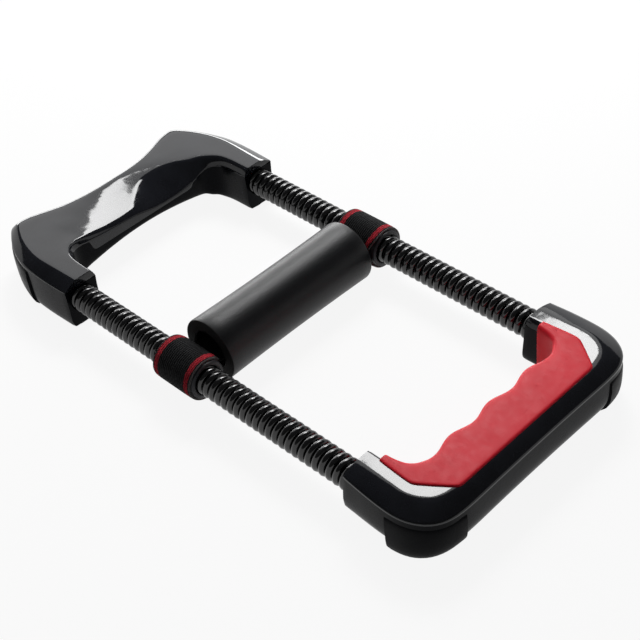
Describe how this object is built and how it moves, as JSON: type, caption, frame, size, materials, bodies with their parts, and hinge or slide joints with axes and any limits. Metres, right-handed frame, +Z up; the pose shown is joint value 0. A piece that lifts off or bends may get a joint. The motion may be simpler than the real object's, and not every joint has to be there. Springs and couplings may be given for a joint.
{
  "type": "hand grip strengthener",
  "caption": "Wrist and hand grip strengthener: an arm rest and a rubber finger grip joined by open coil springs, with a sliding foam roller on webbing between them.",
  "frame": {"origin": "centre of the outline seen from above, on the surface that the feet stand on", "axes": "+X along the springs from the arm rest to the hand grip, +Y to the left spring, +Z up, with the rubber plate of the hand grip on top"},
  "size_m": [0.2996, 0.1422, 0.0326],
  "materials": {
    "shell": "glossy moulded black",
    "shell_lid": "glossy moulded black",
    "pad": "satin black",
    "plug": "matte",
    "steel": "bright",
    "red_rubber": "satin red",
    "spring": "glossy black lacquer",
    "sleeve": "satin dark grey",
    "webbing": "ribbed black weave with red edge stripes",
    "foam": "soft matte foam"
  },
  "bodies": {
    "arm_rest": {"rest_lower_shell": "shell", "rest_upper_shell": "shell_lid", "rest_pad_left": "pad", "rest_pad_right": "pad", "rest_plug_left": "plug", "rest_plug_right": "plug", "rest_pins": "steel", "rest_screws": "steel"},
    "spring_pair": {"spring_left": "spring", "spring_right": "spring"},
    "roller_carriage": {"sleeve_left": "sleeve", "sleeve_right": "sleeve", "roller_strap": "webbing"},
    "roller": {"foam_roller": "foam"},
    "hand_grip": {"grip_lower_shell": "shell", "grip_upper_shell": "shell_lid", "finger_grip": "red_rubber", "grip_pad_left": "pad", "grip_pad_right": "pad", "grip_plug_left": "plug", "grip_plug_right": "plug", "grip_pins": "steel", "grip_screws": "steel"}
  },
  "joints": [
    {"name": "rear_spring_bend", "type": "hinge", "parent": "arm_rest", "child": "spring_pair", "pos_m": [-0.0524, 0, 0.0155], "axis": [0, 1, 0], "range_deg": [-25, 25], "stiffness_Nm_per_rad": 6.5, "deforming": ["spring_left", "spring_right"]},
    {"name": "front_spring_bend", "type": "hinge", "parent": "spring_pair", "child": "hand_grip", "pos_m": [0.0544, 0, 0.0155], "axis": [0, 1, 0], "range_deg": [-60, 60], "stiffness_Nm_per_rad": 4.3, "deforming": ["spring_left", "spring_right"]},
    {"name": "roller_slide", "type": "slide", "parent": "spring_pair", "child": "roller_carriage", "axis": [1, 0, 0], "range_m": [-0.015, 0.015]},
    {"name": "roller_turn", "type": "hinge", "parent": "roller_carriage", "child": "roller", "pos_m": [-0.0064, 0, 0.0164], "axis": [0, 1, 0], "continuous": true}
  ]
}
